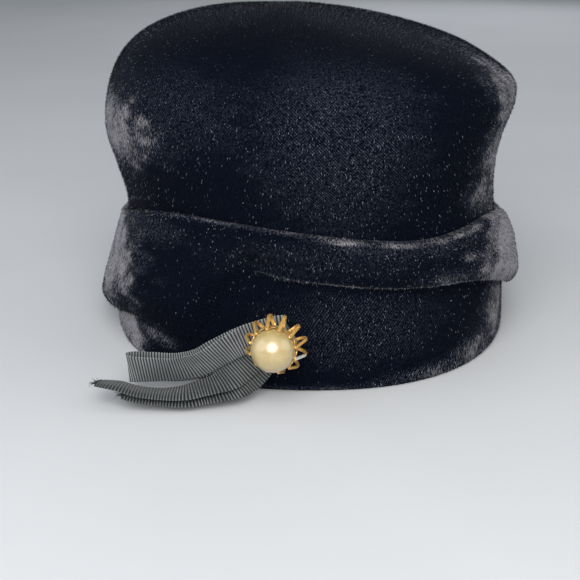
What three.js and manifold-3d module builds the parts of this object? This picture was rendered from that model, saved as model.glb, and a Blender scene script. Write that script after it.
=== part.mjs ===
// A velvet toque: a tall soft crown, a band folded up over its foot, a deep drape swept round it,
// and at the front left a grosgrain ribbon bow under a pearl button in a gilt wire setting.
// Millimetres, +Z up, the front of the hat towards -Y. The hat stands on its rim at Z = 0.

import * as THREE from 'three';
import { mergeVertices } from 'three/addons/utils/BufferGeometryUtils.js';
import Module from 'manifold-3d';

const wasm = await Module();
wasm.setup();

// Driving dimensions
const gap = 0.3;
const rim = { halfWidth: 93.5, halfDepth: 102, squareness: 2.3 };
const velvet = { crownWall: 2.4, bandWall: 2.2, drapeWall: 2, bandBulge: 1.1 };
const bandFold = { overDrapeFold: 14, underDrapeTop: 10, turnUp: 22 };
const rounding = { rimOut: 0.9, rimUp: 1.2, edge: 0.5 };
const grosgrain = { width: 12.7, thickness: 0.8, curlShare: 0.28, curlDrop: 0.9 };
const pearlSize = { radius: 8.7, ahead: 5.4 };
const setting = { cupWall: 0.8, lipBelow: 0.2, shank: 1.1, shankReach: 7 };
const wireLoop = { count: 12, turned: 14, reach: 13.2, front: 4.8, back: -1.5, round: 1.7, slant: 0.45 };
const wire = { radius: 0.6, frontFoot: 0.15, backFoot: 3 };
const button = { x: -15, y: -112.8, height: 26.3, turnedLeft: 12 };
const stepsAround = 64;

// Turns rows of numbers into rows with the named columns
function table(columns, rows) {
  return rows.map((row) => Object.fromEntries(columns.map((name, i) => [name, row[i]])));
}

// The crown's outline at its left, right, front and back, from its foot to its top.
// out is how far it stands from the crown's axis, up its height; lean moves the axis along X.
const crownRows = table(
  ['leftOut', 'leftUp', 'rightOut', 'rightUp', 'frontOut', 'frontUp', 'backOut', 'backUp', 'lean'],
  [
    [89.9, 2.5, 89.9, 2.5, 98.6, 2.5, 98.6, 2.5, 0],
    [87.6, 30, 88, 30, 98, 30, 98, 30, 0],
    [85.4, 56, 85.8, 60, 97, 58, 97, 54, 0],
    [86.2, 67, 85, 72, 97, 69, 97.6, 66, 0],
    [89.4, 77, 85.4, 84, 98, 79, 99.4, 77, 0],
    [92.4, 86, 87.2, 93, 99.6, 88, 101, 87, 0],
    [93.4, 94, 90.2, 100.5, 100.4, 97, 101.4, 96, 0],
    [92.4, 104, 92.2, 106.5, 99.6, 106, 100, 105, 0],
    [89.6, 115, 91, 113, 96.4, 115.5, 95.4, 114.5, 0],
    [83.2, 125, 83.4, 119.5, 89, 124.5, 88, 123.5, -1],
    [72.6, 132.5, 71, 126.5, 77, 131.2, 76, 130, -2],
    [55, 138, 54, 133, 58, 137, 57, 136, -5],
    [32, 141.8, 31, 139.2, 34, 141, 34, 140.5, -9],
    [0, 143.4, 0, 143.4, 0, 143.4, 0, 143.4, -13],
  ],
);

// The drape round the hat, by bearing from the front, positive towards +X. top and fold are the
// heights of its upper and lower edges, shoulder and belly how far it stands out from the crown,
// and bellyAt how far down it the belly lies.
const drapeRows = table(
  ['bearing', 'top', 'fold', 'shoulder', 'belly', 'bellyAt'],
  [
    [-180, 44, 10, 5, 10, 0.66],
    [-135, 45, 10, 5, 10.5, 0.74],
    [-100, 48, 7, 4.6, 11.6, 0.84],
    [-78, 53.4, 10, 4.2, 11.6, 0.84],
    [-60, 61, 15.6, 4, 11, 0.8],
    [-48, 66.6, 20.6, 4, 10, 0.76],
    [-38, 69.8, 20.8, 4, 9, 0.74],
    [-29, 71.2, 19.4, 4, 7.6, 0.7],
    [-22, 70.8, 36, 4, 6.8, 0.6],
    [-15, 70, 52, 4, 6.8, 0.6],
    [-7, 68.4, 50, 4.2, 7.8, 0.6],
    [3, 66.2, 47.8, 4.4, 8.8, 0.6],
    [14, 63.8, 45.4, 4.6, 9.4, 0.6],
    [27, 61.6, 43.4, 4.8, 10, 0.6],
    [40, 62.4, 40.5, 5.2, 10.6, 0.6],
    [52, 62.6, 34, 5.8, 11.4, 0.6],
    [68, 57.4, 24, 6.2, 12.4, 0.6],
    [90, 49.5, 14, 6.2, 12.6, 0.64],
    [135, 45, 10, 5.4, 11, 0.66],
    [180, 44, 10, 5, 10, 0.66],
  ],
);

// The bow's ribbons: where the middle of each runs, and how far it lies back from upright
const ribbonColumns = ['x', 'y', 'z', 'lay'];
const loopStations = table(ribbonColumns, [
  [-10.5, -106.3, 29.9, 0],
  [-15, -106.3, 29.4, 0],
  [-26, -107.6, 26.4, -3],
  [-32, -108.9, 23.9, -14],
  [-38, -109.2, 20.3, -22],
  [-44, -108.8, 16.6, -27],
  [-50, -107.6, 13.9, -24],
  [-58, -106.8, 12.5, -21],
  [-67, -105.9, 12, -15],
  [-73, -104.6, 11.6, -10],
  [-75.2, -102.4, 11.3, -4],
  [-73.2, -100.2, 11, 0],
  [-66, -99.6, 10.4, 0],
  [-55, -100, 10.2, 0],
  [-46, -100.8, 12.6, 0],
  [-39, -101.4, 17, 0],
  [-31, -102, 21.6, 0],
  [-23, -102.8, 25.4, 0],
  [-15, -103, 27.7, 0],
  [-10.5, -103, 28.2, 0],
]);
// The two tails run together; under and slip place the short one behind and below the long one
const tailStations = table([...ribbonColumns, 'under', 'slip'], [
  [-9, -105.3, 29.4, 0, 1.2, 5.5],
  [-15, -105.3, 25.6, 0, 1.2, 5.5],
  [-24, -105.6, 18.8, 4, 1.5, 5.2],
  [-30, -106.8, 13.2, 38, 1.9, 4.8],
  [-34.5, -109.3, 10.4, 70, 2.6, 3.6],
  [-39, -111.2, 8.9, 86, 3.2, 1.6],
  [-45, -112.6, 7.6, 90, 3.2, 0.6],
  [-51, -113.8, 6.4, 93, 3.1, 0.2],
  [-61, -114, 5.8, 101, 2.4, 0],
  [-70.5, -114, 7, 103, 2.4, 0],
  [-78, -113.4, 9.1, 105, 2.4, 0],
  [-85.5, -112, 9.6, 110, 2.4, 0],
]);
const shortTail = { start: 0.12, end: 0.87 };

// How far a squared oval reaches at a bearing, from how far it reaches to its four sides
function ovalReach(bearing, reach) {
  const side = Math.sin(bearing);
  const ahead = Math.cos(bearing);
  const across = side < 0 ? reach.left : reach.right;
  const along = ahead > 0 ? reach.front : reach.back;
  const sum = Math.abs(side / across) ** rim.squareness + Math.abs(ahead / along) ** rim.squareness;
  return sum ** (-1 / rim.squareness);
}

// A value that differs at the four sides, blended round the hat
function blendAround(bearing, value) {
  const sideways = Math.sin(bearing) ** 2;
  const across = Math.sin(bearing) < 0 ? value.left : value.right;
  const along = Math.cos(bearing) > 0 ? value.front : value.back;
  return across * sideways + along * (1 - sideways);
}

// The crown's outline at one bearing, as points of how far out and how high
function crownProfile(bearing) {
  return crownRows.map((row) => {
    const reach = { left: row.leftOut, right: row.rightOut, front: row.frontOut, back: row.backOut };
    const height = { left: row.leftUp, right: row.rightUp, front: row.frontUp, back: row.backUp };
    const out = row.leftOut > 0 ? ovalReach(bearing, reach) : 0;
    return { out, up: blendAround(bearing, height), lean: row.lean };
  });
}

// How far the crown stands out at a bearing and a height below its belly
function crownOut(bearing, height) {
  const profile = crownProfile(bearing);
  const next = Math.max(1, profile.findIndex((point) => point.up > height));
  const low = profile[next - 1];
  const high = profile[next];
  const share = (height - low.up) / (high.up - low.up);
  return low.out + (high.out - low.out) * share;
}

function pointAt(bearing, out, up, lean = 0) {
  return new THREE.Vector3(lean + out * Math.sin(bearing), -out * Math.cos(bearing), up);
}

// A line of out and up points moved by a wall's thickness to its right-hand side
function offsetLine(line, wall) {
  return line.map((point, i) => {
    const before = line[Math.max(0, i - 1)];
    const after = line[Math.min(line.length - 1, i + 1)];
    const run = Math.hypot(after.out - before.out, after.up - before.up);
    const out = point.out - (wall * (after.up - before.up)) / run;
    const up = point.up + (wall * (after.out - before.out)) / run;
    return { ...point, out, up };
  });
}

// A row of the drape's table at any bearing, on a smooth curve through the rows
function drapeAt(degrees) {
  const last = drapeRows.length - 1;
  const next = Math.max(1, drapeRows.findIndex((row) => row.bearing >= degrees));
  const from = drapeRows[next - 1];
  const to = drapeRows[next];
  const before = next > 1 ? drapeRows[next - 2] : drapeRows[last - 1];
  const after = next < last ? drapeRows[next + 1] : drapeRows[1];
  const span = to.bearing - from.bearing;
  const spanBefore = (from.bearing - before.bearing + 360) % 360;
  const spanAfter = (after.bearing - to.bearing + 360) % 360;
  const t = (degrees - from.bearing) / span;
  const value = (name) => {
    const slopeFrom = (to[name] - before[name]) / (span + spanBefore);
    const slopeTo = (after[name] - from[name]) / (span + spanAfter);
    const rise = (2 * t ** 3 - 3 * t ** 2 + 1) * from[name] + (3 * t ** 2 - 2 * t ** 3) * to[name];
    const turn = (t ** 3 - 2 * t ** 2 + t) * slopeFrom + (t ** 3 - t ** 2) * slopeTo;
    return rise + turn * span;
  };
  const names = ['top', 'fold', 'shoulder', 'belly', 'bellyAt'];
  return Object.fromEntries(names.map((name) => [name, value(name)]));
}

function geometryOf(points, triangles) {
  const geometry = new THREE.BufferGeometry();
  const positions = points.flatMap((point) => [point.x, point.y, point.z]);
  geometry.setAttribute('position', new THREE.Float32BufferAttribute(positions, 3));
  geometry.setIndex(triangles);
  return geometry;
}

// A closed skin over a grid of points that wraps round the hat, and round its section too
function ringSkin(columns) {
  const across = columns[0].length;
  const triangles = [];
  columns.forEach((column, i) => {
    const here = i * across;
    const there = ((i + 1) % columns.length) * across;
    column.forEach((point, j) => {
      const k = (j + 1) % across;
      triangles.push(here + j, there + j, there + k, here + j, there + k, here + k);
    });
  });
  return geometryOf(columns.flat(), triangles);
}

// A closed skin over a wall from its outer pole, out and down over its foot and up to its inner pole
function domeSkin(columns) {
  const across = columns[0].length - 2;
  const points = [columns[0][0], columns[0][across + 1]];
  const triangles = [];
  columns.forEach((column, i) => {
    const here = 2 + i * across;
    const there = 2 + ((i + 1) % columns.length) * across;
    points.push(...column.slice(1, -1));
    triangles.push(0, here, there);
    for (let j = 0; j < across - 1; j += 1) {
      triangles.push(here + j, here + j + 1, there + j + 1, here + j, there + j + 1, there + j);
    }
    triangles.push(1, there + across - 1, here + across - 1);
  });
  return geometryOf(points, triangles);
}

function bearings() {
  return Array.from({ length: stepsAround }, (_, i) => -180 + (360 * i) / stepsAround);
}

// The crown: a hollow velvet shell whose foot is trapped in the band's fold
function crownGeometry() {
  const columns = bearings().map((degrees) => {
    const bearing = THREE.MathUtils.degToRad(degrees);
    const outer = crownProfile(bearing);
    const inner = offsetLine(outer, velvet.crownWall);
    inner[0].up = outer[0].up;
    const top = inner[inner.length - 1];
    top.out = 0;
    top.up = outer[outer.length - 1].up - velvet.crownWall;
    const wall = [...outer.reverse(), ...inner];
    return wall.map((point) => pointAt(bearing, point.out, point.up, point.lean));
  });
  return domeSkin(columns);
}

// The band: flat under the rim, up outside the crown, and turned in round the crown's foot
function bandGeometry() {
  const foot = crownRows[0].leftUp - gap;
  const columns = bearings().map((degrees) => {
    const bearing = THREE.MathUtils.degToRad(degrees);
    const drape = drapeAt(degrees);
    const top = Math.min(drape.fold + bandFold.overDrapeFold, drape.top - bandFold.underDrapeTop);
    const outside = gap + velvet.bandWall;
    const inside = -velvet.crownWall - 2 * gap;
    const bulge = outside + velvet.bandBulge;
    const innermost = inside - velvet.bandWall;
    const section = [
      [innermost + rounding.edge, 0],
      [outside, 0],
      [outside + rounding.rimOut, rounding.rimUp],
      [bulge, top * 0.3],
      [bulge, top * 0.6],
      [outside + rounding.edge, top - rounding.edge],
      [outside - rounding.edge, top],
      [gap, top],
      [gap + 0.1, top / 2],
      [gap, foot],
      [inside, foot],
      [inside, bandFold.turnUp],
      [innermost, bandFold.turnUp],
      [innermost, rounding.rimUp],
    ];
    return section.map(([out, up]) => pointAt(bearing, crownOut(bearing, up) + out, up));
  });
  return ringSkin(columns);
}

// The drape: a hollow roll whose outline goes from the lip inside its lower fold, out round the
// fold and up over its belly, to its upper edge at the crown
function drapeGeometry() {
  const lip = 3 * gap + velvet.bandWall + velvet.bandBulge;
  const columns = bearings().map((degrees) => {
    const bearing = THREE.MathUtils.degToRad(degrees);
    const { top, fold, shoulder, belly, bellyAt } = drapeAt(degrees);
    const height = top - fold;
    const bellyUp = top - height * bellyAt;
    const outline = [
      [lip, fold + 2.6],
      [lip + 0.3, fold + 0.5],
      [(lip + belly) / 2, fold],
      [belly * 0.93, fold + (bellyUp - fold) * 0.42],
      [belly, bellyUp],
      [shoulder + (belly - shoulder) * 0.62, bellyUp + (top - bellyUp) * 0.4],
      [shoulder + (belly - shoulder) * 0.2, bellyUp + (top - bellyUp) * 0.75],
      [shoulder * 0.78, top - 0.8],
      [velvet.drapeWall * 0.4 + gap, top - 0.2],
    ];
    const outer = outline.map(([out, up]) => ({ out: crownOut(bearing, up) + out, up }));
    const inner = offsetLine(outer, velvet.drapeWall);
    inner.forEach((point) => {
      point.out = Math.max(point.out, crownOut(bearing, point.up) + gap);
    });
    const wall = [...outer, ...inner.reverse()];
    return wall.map((point) => pointAt(bearing, point.out, point.up));
  });
  return ringSkin(columns);
}

// Manifold joins and cuts closed solids; these two pass shapes to it and back
function solidOf(geometry) {
  const bare = geometry.clone();
  bare.deleteAttribute('normal');
  bare.deleteAttribute('uv');
  const merged = mergeVertices(bare, 1e-4);
  const vertProperties = new Float32Array(merged.attributes.position.array);
  const triVerts = new Uint32Array(merged.index.array);
  return new wasm.Manifold(new wasm.Mesh({ numProp: 3, vertProperties, triVerts }));
}

function geometryOfSolid(solid) {
  const mesh = solid.getMesh();
  const geometry = new THREE.BufferGeometry();
  geometry.setAttribute('position', new THREE.BufferAttribute(mesh.vertProperties, 3));
  geometry.setIndex(new THREE.BufferAttribute(mesh.triVerts, 1));
  return geometry;
}

// A flat ribbon along its stations, or along part of them, its front edge curled down where it
// lies flat. A ribbon below the route keeps to the stations' under and slip.
function ribbonGeometry(stations, steps, { start = 0, end = 1, below = false } = {}) {
  const route = new THREE.CatmullRomCurve3(stations.map((at) => new THREE.Vector3(at.x, at.y, at.z)));
  const half = grosgrain.width / 2;
  const skin = grosgrain.thickness / 2;
  const curlAt = half - grosgrain.width * grosgrain.curlShare;
  const sections = [];
  for (let i = 0; i <= steps; i += 1) {
    const t = start + ((end - start) * i) / steps;
    const place = t * (stations.length - 1);
    const index = Math.min(Math.floor(place), stations.length - 2);
    const between = place - index;
    const value = (name) => THREE.MathUtils.lerp(stations[index][name], stations[index + 1][name], between);
    const lay = THREE.MathUtils.degToRad(value('lay'));
    const along = route.getTangent(t);
    const up = new THREE.Vector3(0, 0, 1).addScaledVector(along, -along.z).normalize();
    const back = new THREE.Vector3().crossVectors(along, up);
    const across = up.clone().multiplyScalar(Math.cos(lay)).addScaledVector(back, Math.sin(lay));
    const face = new THREE.Vector3().crossVectors(across, along);
    const middle = route.getPoint(t);
    if (below) middle.addScaledVector(face, -value('under')).addScaledVector(across, -value('slip'));
    const drop = grosgrain.curlDrop * Math.max(0, Math.sin(lay));
    const at = (width, depth) => middle.clone().addScaledVector(across, width).addScaledVector(face, depth);
    sections.push([
      at(half, skin),
      at(-curlAt, skin),
      at(-half, skin - drop),
      at(-half, -skin - drop),
      at(-curlAt, -skin),
      at(half, -skin),
    ]);
  }
  return tubeSkin(sections);
}

// A closed skin over sections of the same count of points, with an end face at each end
function tubeSkin(sections) {
  const across = sections[0].length;
  const last = (sections.length - 1) * across;
  const triangles = [];
  for (let i = 0; i < sections.length - 1; i += 1) {
    for (let j = 0; j < across; j += 1) {
      const k = (j + 1) % across;
      const here = i * across;
      const there = here + across;
      triangles.push(here + j, there + j, there + k, here + j, there + k, here + k);
    }
  }
  const ends = [[0, 1, 4], [0, 4, 5], [1, 2, 3], [1, 3, 4]];
  ends.forEach(([a, b, c]) => {
    triangles.push(a, b, c, last + a, last + c, last + b);
  });
  return geometryOf(sections.flat(), triangles);
}

// The button's own frame: its Z axis points out of the hat, turned a little to the left
function placeButton(geometry) {
  geometry.rotateX(Math.PI / 2);
  geometry.rotateZ(THREE.MathUtils.degToRad(-button.turnedLeft));
  geometry.translate(button.x, button.y, button.height);
  return geometry;
}

// The shank on the button's axis, from the band's face to inside the cup's back
function shankGeometry(radius) {
  const front = pearlSize.ahead - pearlSize.radius - gap - setting.cupWall / 4;
  const shank = new THREE.CylinderGeometry(radius, radius, setting.shankReach, 12);
  shank.rotateX(Math.PI / 2);
  shank.translate(0, 0, front - setting.shankReach / 2);
  return placeButton(shank);
}

// The cup: a lathe round the pearl's back, open at the front
function cupGeometry() {
  const inner = pearlSize.radius + gap;
  const outer = inner + setting.cupWall;
  const arc = (radius, from, to, steps) => Array.from({ length: steps + 1 }, (_, i) => {
    const angle = from + ((to - from) * i) / steps;
    return new THREE.Vector2(radius * Math.sin(angle), pearlSize.ahead - radius * Math.cos(angle));
  });
  const lipAngle = Math.acos(setting.lipBelow / inner);
  const profile = [...arc(outer, 0, lipAngle, 7), ...arc(inner, lipAngle, 0, 7)];
  profile[0].x = 0;
  profile[profile.length - 1].x = 0;
  const cup = new THREE.LatheGeometry(profile, 24);
  cup.rotateX(Math.PI / 2);
  return placeButton(cup);
}

// One hairpin of wire on edge: from the cup's lip it slopes out and back to its tip, turns round it
// and comes in behind to the cup, a foot in the cup's wall at each end
function wireLoopGeometry(angle) {
  const { front, back, round, slant } = wireLoop;
  const lip = pearlSize.radius + gap + setting.cupWall / 2;
  const root = new THREE.Vector2(lip + wire.frontFoot, front);
  const middle = new THREE.Vector2(wireLoop.reach - wire.radius - round, back + round);
  const reach = middle.clone().sub(root);
  const slope = Math.atan2(-reach.y, reach.x) - Math.asin(round / reach.length());
  const turnAt = (share) => {
    const around = Math.PI / 2 - slope - share * (Math.PI - slope);
    const x = middle.x + round * Math.cos(around);
    return new THREE.Vector3(x, slant * (2 * share - 1), middle.y + round * Math.sin(around));
  };
  const path = new THREE.CatmullRomCurve3([
    new THREE.Vector3(root.x, -slant, root.y),
    turnAt(0),
    turnAt(0.33),
    turnAt(0.67),
    turnAt(1),
    new THREE.Vector3(lip - wire.backFoot / 2, slant, back),
    new THREE.Vector3(lip - wire.backFoot, slant, back),
  ]);
  const section = new THREE.Shape();
  for (let i = 0; i < 5; i += 1) {
    const turn = (2 * Math.PI * i) / 5;
    const x = wire.radius * Math.cos(turn);
    const y = wire.radius * Math.sin(turn);
    if (i === 0) section.moveTo(x, y);
    else section.lineTo(x, y);
  }
  const loop = new THREE.ExtrudeGeometry(section, { steps: 10, extrudePath: path, curveSegments: 1 });
  loop.rotateZ(angle);
  return placeButton(loop);
}

// The setting: cup, shank and wire loops, soldered into one solid
function settingGeometry() {
  let solid = solidOf(cupGeometry()).add(solidOf(shankGeometry(setting.shank)));
  for (let i = 0; i < wireLoop.count; i += 1) {
    const angle = THREE.MathUtils.degToRad(wireLoop.turned + (360 * i) / wireLoop.count);
    solid = solid.add(solidOf(wireLoopGeometry(angle)));
  }
  return geometryOfSolid(solid);
}

function pearlGeometry() {
  const pearl = new THREE.SphereGeometry(pearlSize.radius, 18, 12);
  pearl.rotateX(Math.PI / 2);
  pearl.translate(0, 0, pearlSize.ahead);
  return placeButton(pearl);
}

// A ribbon with the hole that the button's shank goes through
function pinnedRibbonGeometry(stations, steps) {
  const hole = solidOf(shankGeometry(setting.shank + gap));
  return geometryOfSolid(solidOf(ribbonGeometry(stations, steps)).subtract(hole));
}

function shortTailGeometry() {
  return ribbonGeometry(tailStations, 24, { ...shortTail, below: true });
}

const materials = {
  velvet: new THREE.MeshStandardMaterial({ color: 0x0b0c15, roughness: 0.9, metalness: 0 }),
  grosgrain: new THREE.MeshStandardMaterial({ color: 0x3a3f40, roughness: 0.75, metalness: 0 }),
  gilt: new THREE.MeshStandardMaterial({ color: 0xb08a3e, roughness: 0.35, metalness: 1 }),
  pearl: new THREE.MeshStandardMaterial({ color: 0xe9dcae, roughness: 0.25, metalness: 0 }),
};

function piece(name, geometry, material) {
  const mesh = new THREE.Mesh(geometry, material);
  mesh.name = name;
  return mesh;
}

const bow = new THREE.Group();
bow.add(
  piece('ribbon_loop', pinnedRibbonGeometry(loopStations, 48), materials.grosgrain),
  piece('ribbon_tail_long', pinnedRibbonGeometry(tailStations, 30), materials.grosgrain),
  piece('ribbon_tail_short', shortTailGeometry(), materials.grosgrain),
  piece('button_setting', settingGeometry(), materials.gilt),
  piece('pearl', pearlGeometry(), materials.pearl),
);

const hat = new THREE.Group();
hat.add(
  piece('crown', crownGeometry(), materials.velvet),
  piece('lower_band', bandGeometry(), materials.velvet),
  piece('drape', drapeGeometry(), materials.velvet),
  bow,
);

// The origin is under the middle of the whole hat
const middle = new THREE.Box3().setFromObject(hat).getCenter(new THREE.Vector3());
hat.position.set(-middle.x, -middle.y, 0);
hat.updateMatrixWorld(true);

export default hat;
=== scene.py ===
# A black velvet toque: a tall soft crown, a band folded up at the rim, a drape swept round it, and
# at the front left a grosgrain bow under a pearl button in gilt wire. The hat's own measures are in
# millimetres, as a hatter writes them, and turn to metres where a mesh is made.

import math
from contextlib import contextmanager

import bpy
import numpy as np
from mathutils import Matrix, Vector


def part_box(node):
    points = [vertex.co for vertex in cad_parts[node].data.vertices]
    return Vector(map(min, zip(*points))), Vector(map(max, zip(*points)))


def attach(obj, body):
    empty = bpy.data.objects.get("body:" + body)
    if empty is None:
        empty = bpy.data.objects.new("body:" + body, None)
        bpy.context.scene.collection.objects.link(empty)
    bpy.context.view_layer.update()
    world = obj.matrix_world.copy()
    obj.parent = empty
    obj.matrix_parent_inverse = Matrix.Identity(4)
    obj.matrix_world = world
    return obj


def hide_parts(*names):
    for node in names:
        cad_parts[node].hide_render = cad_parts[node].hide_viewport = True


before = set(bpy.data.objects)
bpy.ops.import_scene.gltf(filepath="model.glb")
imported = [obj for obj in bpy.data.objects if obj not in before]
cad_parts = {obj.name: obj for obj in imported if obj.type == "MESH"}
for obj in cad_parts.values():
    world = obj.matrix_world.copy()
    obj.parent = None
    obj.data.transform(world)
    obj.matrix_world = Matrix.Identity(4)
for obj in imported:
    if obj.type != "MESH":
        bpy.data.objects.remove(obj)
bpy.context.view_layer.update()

MM = 0.001

# The middle of the crown's oval, on the surface that the rim rests on
band_low, band_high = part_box("lower_band")
hat_centre = Vector(((band_low[0] + band_high[0]) / 2, (band_low[1] + band_high[1]) / 2, 0))

# The camera's view: the eye and what it looks at, from the hat's centre
eye = hat_centre + MM * Vector((-9.5, -468.2, 193.1))
looked_at = hat_centre + MM * Vector((-9.5, 0, 3.9))
lens = 62.07

# Driving sizes of the velvet, in millimetres
gap = 0.3
squareness = 2.3
crown_wall, band_wall, drape_wall = 2.4, 2.2, 2.0
crown_flat_from, crown_flat_at = 123, 137
band_bulge, foot_height = 1.1, 2.2
band_over_fold, band_under_top, turn_up = 14, 10, 22
girth_per_degree = 1.63
tuft_pitch, weave_pitch = 0.85, 0.7

# The steps of each grid of points, round the hat and up its outside
crown_grid, band_grid, drape_grid = (200, 100), (256, 49), (300, 57)

# The pile, in millimetres, and the shares of its fibres that look pale: all over, in clouds, and where
# the pile lies over or has painted sheen
pile_pitch, pile_length, pile_radius, pile_root = 1.35, 1.1, 0.12, 0.25
pale_all_over, pale_in_clouds, pale_where_brushed_and_sheen = 0.035, 0.06, 0.5
around_a_fibre = (0, 2.1, 4.2)

# The ribbon, in millimetres, with the share of its width that curls and how far
ribbon_width, ribbon_thickness, rib_pitch, rib_height = 12.7, 0.7, 1.18, 0.22
curl_share, curl_drop = 0.28, 0.9
loose_threads, thread_radius, thread_reach = 34, 0.17, (0.6, 3.6)

# The button, in millimetres from the cup's middle: across its axis, and ahead along it
pearl_radius, pearl_ahead, pearl_back = 8.7, 5.4, 7.83
pearl_specks, speck_radius = ((5.65, 0.3, 6.6), (7.05, -0.05, 5.1)), 0.35
cup_wall, cup_lip, shank_radius, shank_reach = 0.8, 3.4, 1.1, 7
collar_radius, collar_foot, collar_dip, collar_prong, collar_wall = 9.0, 1.9, 3.7, 6.1, 0.35
wire_loops, first_bearing, worn_loop = 12, 14, 11
loop_root, loop_front, loop_tip, loop_back = 9.3, 5.8, 12.2, -3.4
loop_round, loop_rise, loop_return, solder_radius = 2.4, math.radians(18), 4.3, 0.5
button_place, button_turn = Vector((-15, -112.8, 26.3)), math.radians(-12)

# The strip's section with the groove along its face, in shares of its width
strip_below = ((-0.5, 0), (-0.42, -0.36), (0, -0.5), (0.42, -0.36), (0.5, 0))
strip_above = ((0.47, 0.24), (0.36, 0.45), (0.21, 0.5), (0, 0.24))
strip_above += ((-0.21, 0.5), (-0.36, 0.45), (-0.47, 0.24))

# Each loop as it was made: its width, its swing to one side in degrees, its back leg's slant and its
# bend's lift
loop_widths = (1.25, 1.4, 1.6, 1.6, 1.4, 1.2, 1.2, 1.2, 1.2, 1.2, 1.25, 1.25)
loop_bends = (3, -4, 2, -3, 5, 4, 2, -2, 3, -3, 4, -2)
loop_slants = (0, -0.3, 0.3, 1.6, 1.2, 0.2, 0, 0.5, 0.5, 0.5, 0, 0)
loop_lifts = (0, 0, 0, 0, 1, 1.8, 1.8, 0.4, 0, 0, 0.5, 0)

# The studio's lamps: name, place from the hat's centre, diameter, power and tint, in metres and watts
lamps = (
    ("key", (-0.05, -0.57, 0.43), 0.58, 5, (1, 0.98, 0.95)),
    ("soft_top", (0, -0.1, 1.1), 0.9, 0.9, (0.95, 0.97, 1)),
    ("left", (-0.9, -0.25, 0.5), 1.1, 3.8, (0.95, 0.97, 1)),
    ("right", (0.9, -0.15, 0.55), 1, 2.9, (1, 0.98, 0.95)),
    ("back", (0.3, 1.2, 0.6), 1, 2.4, (0.97, 0.98, 1)),
)
sky_tint, sky_strength = (0.88, 0.92, 0.97, 1), 0.38


def table(columns, rows):
    """The rows' numbers as one array for each named column"""
    return {name: np.array(values, float) for name, values in zip(columns.split(), zip(*rows))}


# How far the crown stands out at its left, right, front and back, and how high, foot to top
crown_rows = table("left_out left_up right_out right_up front_out front_up back_out back_up lean", [
    (89.9, 2.5, 89.9, 2.5, 98.6, 2.5, 98.6, 2.5, 0),
    (87.6, 30, 88, 30, 98, 30, 98, 30, 0),
    (85.4, 56, 85.8, 60, 97, 58, 97, 54, 0),
    (86.2, 67, 85, 72, 97, 69, 97.6, 66, 0),
    (89.4, 77, 85.4, 84, 98, 79, 99.4, 77, 0),
    (92.4, 86, 87.2, 93, 99.6, 88, 101, 87, 0),
    (93.4, 94, 90.2, 100.5, 100.4, 97, 101.4, 96, 0),
    (92.4, 104, 92.2, 106.5, 99.6, 106, 100, 105, 0),
    (89.6, 115, 91, 113, 96.4, 115.5, 95.4, 114.5, 0),
    (83.2, 125, 83.4, 119.5, 89, 124.5, 88, 123.5, -1),
    (72.6, 132.5, 71, 126.5, 77, 131.2, 76, 130, -2),
    (55, 138, 54, 133, 58, 137, 57, 136, -5),
    (32, 141.8, 31, 139.2, 34, 141, 34, 140.5, -9),
    (0, 143.4, 0, 143.4, 0, 143.4, 0, 143.4, -13),
])

# The drape by bearing from the front, positive towards +X. merge is 1 where its lower edge is
# stitched flush to the band, and 0 where it hangs free as a fold.
drape_rows = table("bearing top fold shoulder belly belly_at merge", [
    (-180, 44, 10, 5, 10, 0.66, 0),
    (-135, 45, 10, 5, 10.5, 0.74, 0),
    (-100, 48, 7, 4.6, 11.6, 0.84, 0),
    (-78, 53.4, 10, 4.2, 11.6, 0.84, 0),
    (-60, 61, 15.6, 4, 11, 0.8, 0),
    (-48, 66.6, 20.6, 4, 10, 0.76, 0.1),
    (-38, 69.8, 20.8, 4, 9, 0.74, 0.45),
    (-29, 71.2, 19.4, 4, 7.6, 0.7, 0.9),
    (-22, 70.8, 36, 4, 6.8, 0.6, 1),
    (-15, 70, 52, 4, 6.8, 0.6, 0.8),
    (-7, 68.4, 50, 4.2, 7.8, 0.6, 0.35),
    (3, 66.2, 47.8, 4.4, 8.8, 0.6, 0),
    (14, 63.8, 45.4, 4.6, 9.4, 0.6, 0),
    (27, 61.6, 43.4, 4.8, 10, 0.6, 0),
    (40, 62.4, 40.5, 5.2, 10.6, 0.6, 0),
    (52, 62.6, 34, 5.8, 11.4, 0.6, 0),
    (68, 57.4, 24, 6.2, 12.4, 0.6, 0),
    (90, 49.5, 14, 6.2, 12.6, 0.64, 0),
    (135, 45, 10, 5.4, 11, 0.66, 0),
    (180, 44, 10, 5, 10, 0.66, 0),
])

# Creases pressed into the cloth: from which bearing and height to which, how wide and how deep. A
# depth below 0 is a ridge.
drape_creases = [
    (-49, 65.2, -44.5, 66, 1.1, 2.2),
    (-41.5, 37, -28.8, 37.4, 2.2, 0.7),
    (-15, 57, 8, 52.4, 2.2, 1.1),
    (-52, 40, -75, 34, 6, 1.2),
    (48, 47, 80, 35, 5, 1.1),
    (60, 38, 96, 22, 4, 0.9),
    (30, 56, 52, 55, 3, 0.8),
    (100, 30, 150, 24, 5, 1),
    (-95, 32, -150, 26, 5, 1),
]
band_creases = [
    (-61, 14.4, -52, 13.4, 1.5, 1.6),
    (40, 16, 62, 24, 4, 0.9),
    (20, 30, 44, 34, 5, 0.6),
    (-58, 4, -50, 10, 3, 0.8),
]
crown_creases = [
    (-70, 84, -38, 100, 9, 0.9),
    (46, 76, 70, 110, 9, 1),
    (-8, 72, 4, 120, 12, -0.6),
    (110, 80, 150, 110, 11, 1),
    (-120, 82, -150, 108, 10, 0.9),
    (172, 70, 190, 115, 12, 0.8),
]
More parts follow.
